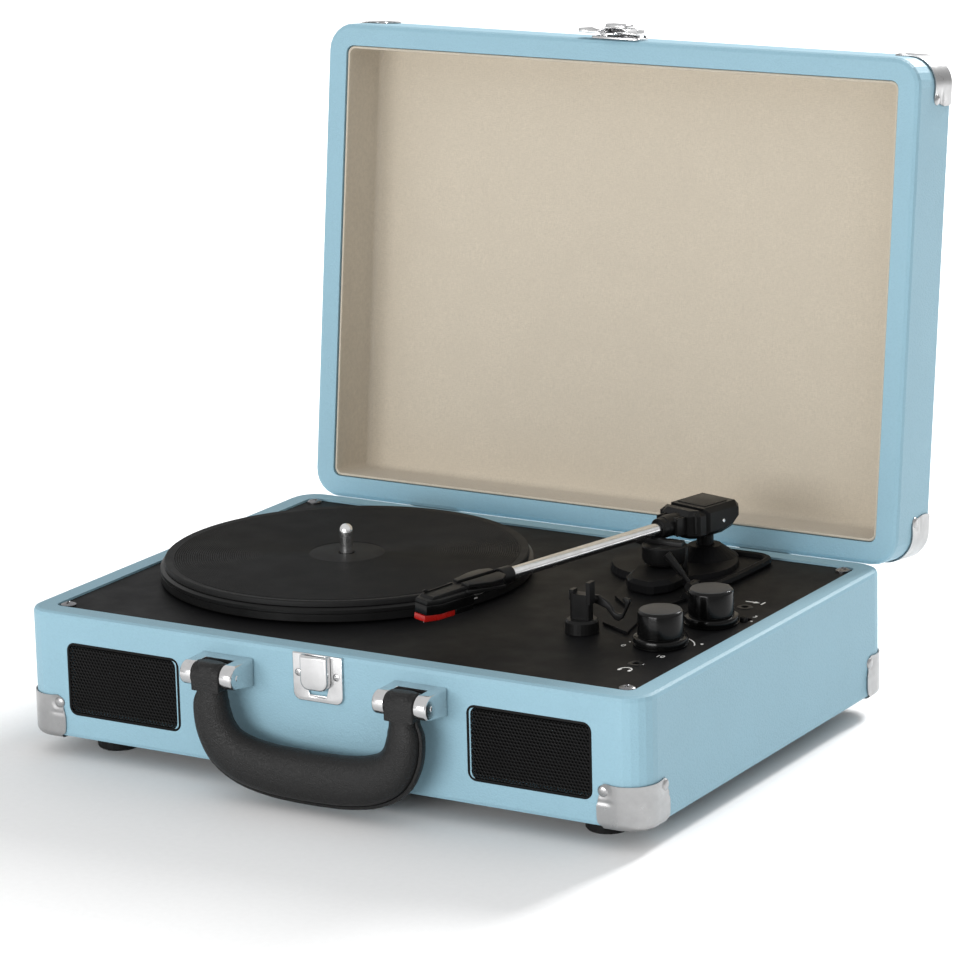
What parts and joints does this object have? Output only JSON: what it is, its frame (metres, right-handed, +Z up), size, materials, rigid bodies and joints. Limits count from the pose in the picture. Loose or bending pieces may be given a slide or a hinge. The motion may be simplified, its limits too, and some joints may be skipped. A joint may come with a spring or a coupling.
{
  "type": "suitcase record player",
  "caption": "Suitcase record player: covered case with front speakers, belt-driven platter, straight tonearm, control knobs, carrying handle and hinged lid with hasp.",
  "frame": {"origin": "on the floor under the middle of the box that holds the player with its lid open", "axes": "+Z up, +X to the right of someone facing the front, +Y to the back"},
  "size_m": [0.3546, 0.3606, 0.3356],
  "materials": {
    "covering": "satin",
    "lining": "matte",
    "black_plastic": "satin",
    "gloss_black": "gloss",
    "black_rubber": "matte",
    "speaker_mesh": "matte",
    "chrome": "polished",
    "steel": "brushed",
    "red_plastic": "gloss",
    "board": "matte",
    "grip": "satin"
  },
  "bodies": {
    "base": {"base_shell": "covering", "bottom_panel": "black_plastic", "deck_plate": "black_plastic", "foot_front_left": "black_rubber", "foot_front_right": "black_rubber", "foot_rear_left": "black_rubber", "foot_rear_right": "black_rubber", "base_corner_front_left": "chrome", "base_corner_front_right": "chrome", "base_corner_rear_left": "chrome", "base_corner_rear_right": "chrome", "speaker_grille_left": "speaker_mesh", "speaker_grille_right": "speaker_mesh", "speaker_driver_left": "black_plastic", "speaker_driver_right": "black_plastic", "rear_jack_panel": "black_plastic", "handle_bracket_left": "chrome", "handle_bracket_right": "chrome", "handle_pin_left": "steel", "handle_pin_right": "steel", "latch_plate": "chrome", "spindle": "chrome", "motor": "steel", "drive_belt": "black_rubber", "tonearm_plinth": "black_plastic", "lift_bar": "black_plastic", "arm_rest": "black_plastic", "circuit_board": "board", "volume_pot": "steel", "selector_switch": "steel", "hinge_base_leaf_left": "chrome", "hinge_base_leaf_right": "chrome"},
    "handle": {"handle_grip": "grip"},
    "latch_slide": {"latch_slide": "chrome"},
    "lid": {"lid_shell": "covering", "lid_lining": "lining", "lid_corner_front_left": "chrome", "lid_corner_front_right": "chrome", "lid_corner_rear_left": "chrome", "lid_corner_rear_right": "chrome", "hinge_lid_leaf_left": "chrome", "hinge_lid_leaf_right": "chrome", "hasp_plate": "chrome"},
    "hasp": {"hasp": "chrome"},
    "platter": {"platter": "black_plastic", "slip_mat": "black_rubber"},
    "pulley": {"motor_pulley": "black_plastic"},
    "turret": {"arm_turret": "black_plastic"},
    "arm": {"arm_housing": "black_plastic", "arm_tube": "chrome", "headshell": "black_plastic", "cartridge": "gloss_black", "stylus": "red_plastic"},
    "cue_lever": {"cue_lever": "black_plastic"},
    "arm_clip": {"arm_clip": "black_plastic"},
    "volume_knob": {"volume_knob": "gloss_black"},
    "selector_knob": {"selector_knob": "gloss_black"}
  },
  "joints": [
    {"name": "lid_hinge", "type": "hinge", "parent": "base", "child": "lid", "pos_m": [0, 0.10369, 0.0693], "axis": [1, 0, 0], "range_deg": [0, 96.7]},
    {"name": "hasp_hinge", "type": "hinge", "parent": "lid", "child": "hasp", "pos_m": [0, 0.15191, 0.32953], "axis": [-1, 0, 0], "range_deg": [0, 95]},
    {"name": "handle_swing", "type": "hinge", "parent": "base", "child": "handle", "pos_m": [0.0024, -0.172, 0.061], "axis": [-1, 0, 0], "range_deg": [-6, 160]},
    {"name": "latch_slide_travel", "type": "slide", "parent": "base", "child": "latch_slide", "axis": [0, 0, -1], "range_m": [0, 0.003], "stiffness_N_per_m": 300, "springref_m": -0.002},
    {"name": "platter_spin", "type": "hinge", "parent": "base", "child": "platter", "pos_m": [-0.066, -0.028, 0.083], "axis": [0, 0, -1], "continuous": true},
    {"name": "pulley_spin", "type": "hinge", "parent": "base", "child": "pulley", "pos_m": [-0.12115, 0.02715, 0.077], "axis": [0, 0, -1], "continuous": true},
    {"name": "arm_yaw", "type": "hinge", "parent": "base", "child": "turret", "pos_m": [0.089, 0.0687, 0.085], "axis": [0, 0, -1], "range_deg": [-16, 28]},
    {"name": "arm_lift", "type": "hinge", "parent": "turret", "child": "arm", "pos_m": [0.089, 0.0687, 0.0994], "axis": [-0.9711, 0.2385, 0], "range_deg": [0, 1.2]},
    {"name": "cue_lever_turn", "type": "hinge", "parent": "base", "child": "cue_lever", "pos_m": [0.111, 0.013, 0.0786], "axis": [0, 1, 0], "range_deg": [0, 60]},
    {"name": "arm_clip_turn", "type": "hinge", "parent": "base", "child": "arm_clip", "pos_m": [0.0991, -0.0621, 0.0896], "axis": [0, -1, 0], "range_deg": [0, 122.5]},
    {"name": "volume_turn", "type": "hinge", "parent": "base", "child": "volume_knob", "pos_m": [0.1389, -0.07061, 0.08], "axis": [0, 0, -1], "range_deg": [0, 300]},
    {"name": "selector_turn", "type": "hinge", "parent": "base", "child": "selector_knob", "pos_m": [0.1435, -0.0277, 0.08], "axis": [0, 0, -1], "range_deg": [0, 90]}
  ],
  "couplings": [
    {"joint": "pulley_spin", "follows": "platter_spin", "ratio": 11},
    {"joint": "arm_lift", "follows": "cue_lever_turn", "ratio": 0.02}
  ]
}
